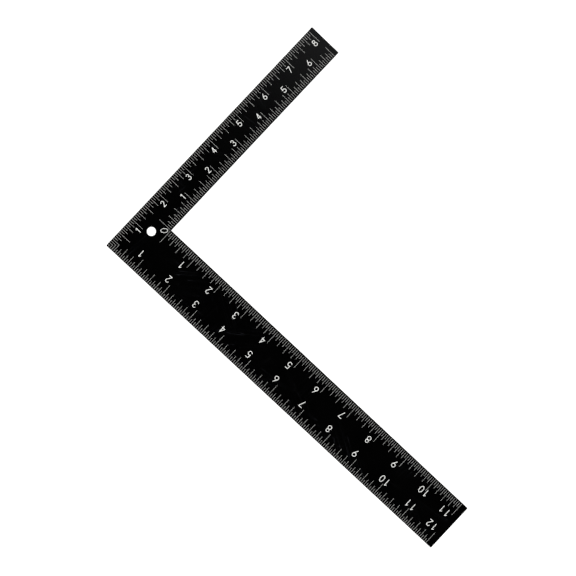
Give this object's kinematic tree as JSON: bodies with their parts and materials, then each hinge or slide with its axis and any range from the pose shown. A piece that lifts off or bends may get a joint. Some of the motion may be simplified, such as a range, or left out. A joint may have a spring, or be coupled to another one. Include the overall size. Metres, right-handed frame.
{
  "type": "carpenters square",
  "caption": "Flat L-shaped steel carpenter's square, painted black, with white inch scales along its inner and outer edges on both faces and a hanging hole near the heel.",
  "frame": {"origin": "the heel: the outer corner where the outer edges of blade and tongue meet, on the back face", "axes": "+X along the outer edge of the blade, the long leg; +Y along the outer edge of the tongue, the short leg; +Z out of the front face"},
  "size_m": [0.31, 0.207, 0.0016],
  "materials": {
    "black_paint": "satin",
    "white_paint": "matte"
  },
  "bodies": {
    "root": {"square_plate": "black_paint", "front_heel_lines": "white_paint", "front_blade_outer_lines": "white_paint", "front_blade_outer_numerals": "white_paint", "front_blade_inner_lines": "white_paint", "front_blade_inner_numerals": "white_paint", "front_tongue_outer_lines": "white_paint", "front_tongue_outer_numerals": "white_paint", "front_tongue_inner_lines": "white_paint", "front_tongue_inner_numerals": "white_paint", "front_corner_zero": "white_paint", "back_heel_lines": "white_paint", "back_blade_outer_lines": "white_paint", "back_blade_outer_numerals": "white_paint", "back_blade_inner_lines": "white_paint", "back_blade_inner_numerals": "white_paint", "back_tongue_outer_lines": "white_paint", "back_tongue_outer_numerals": "white_paint", "back_tongue_inner_lines": "white_paint", "back_tongue_inner_numerals": "white_paint", "back_corner_zero": "white_paint"}
  },
  "joints": []
}
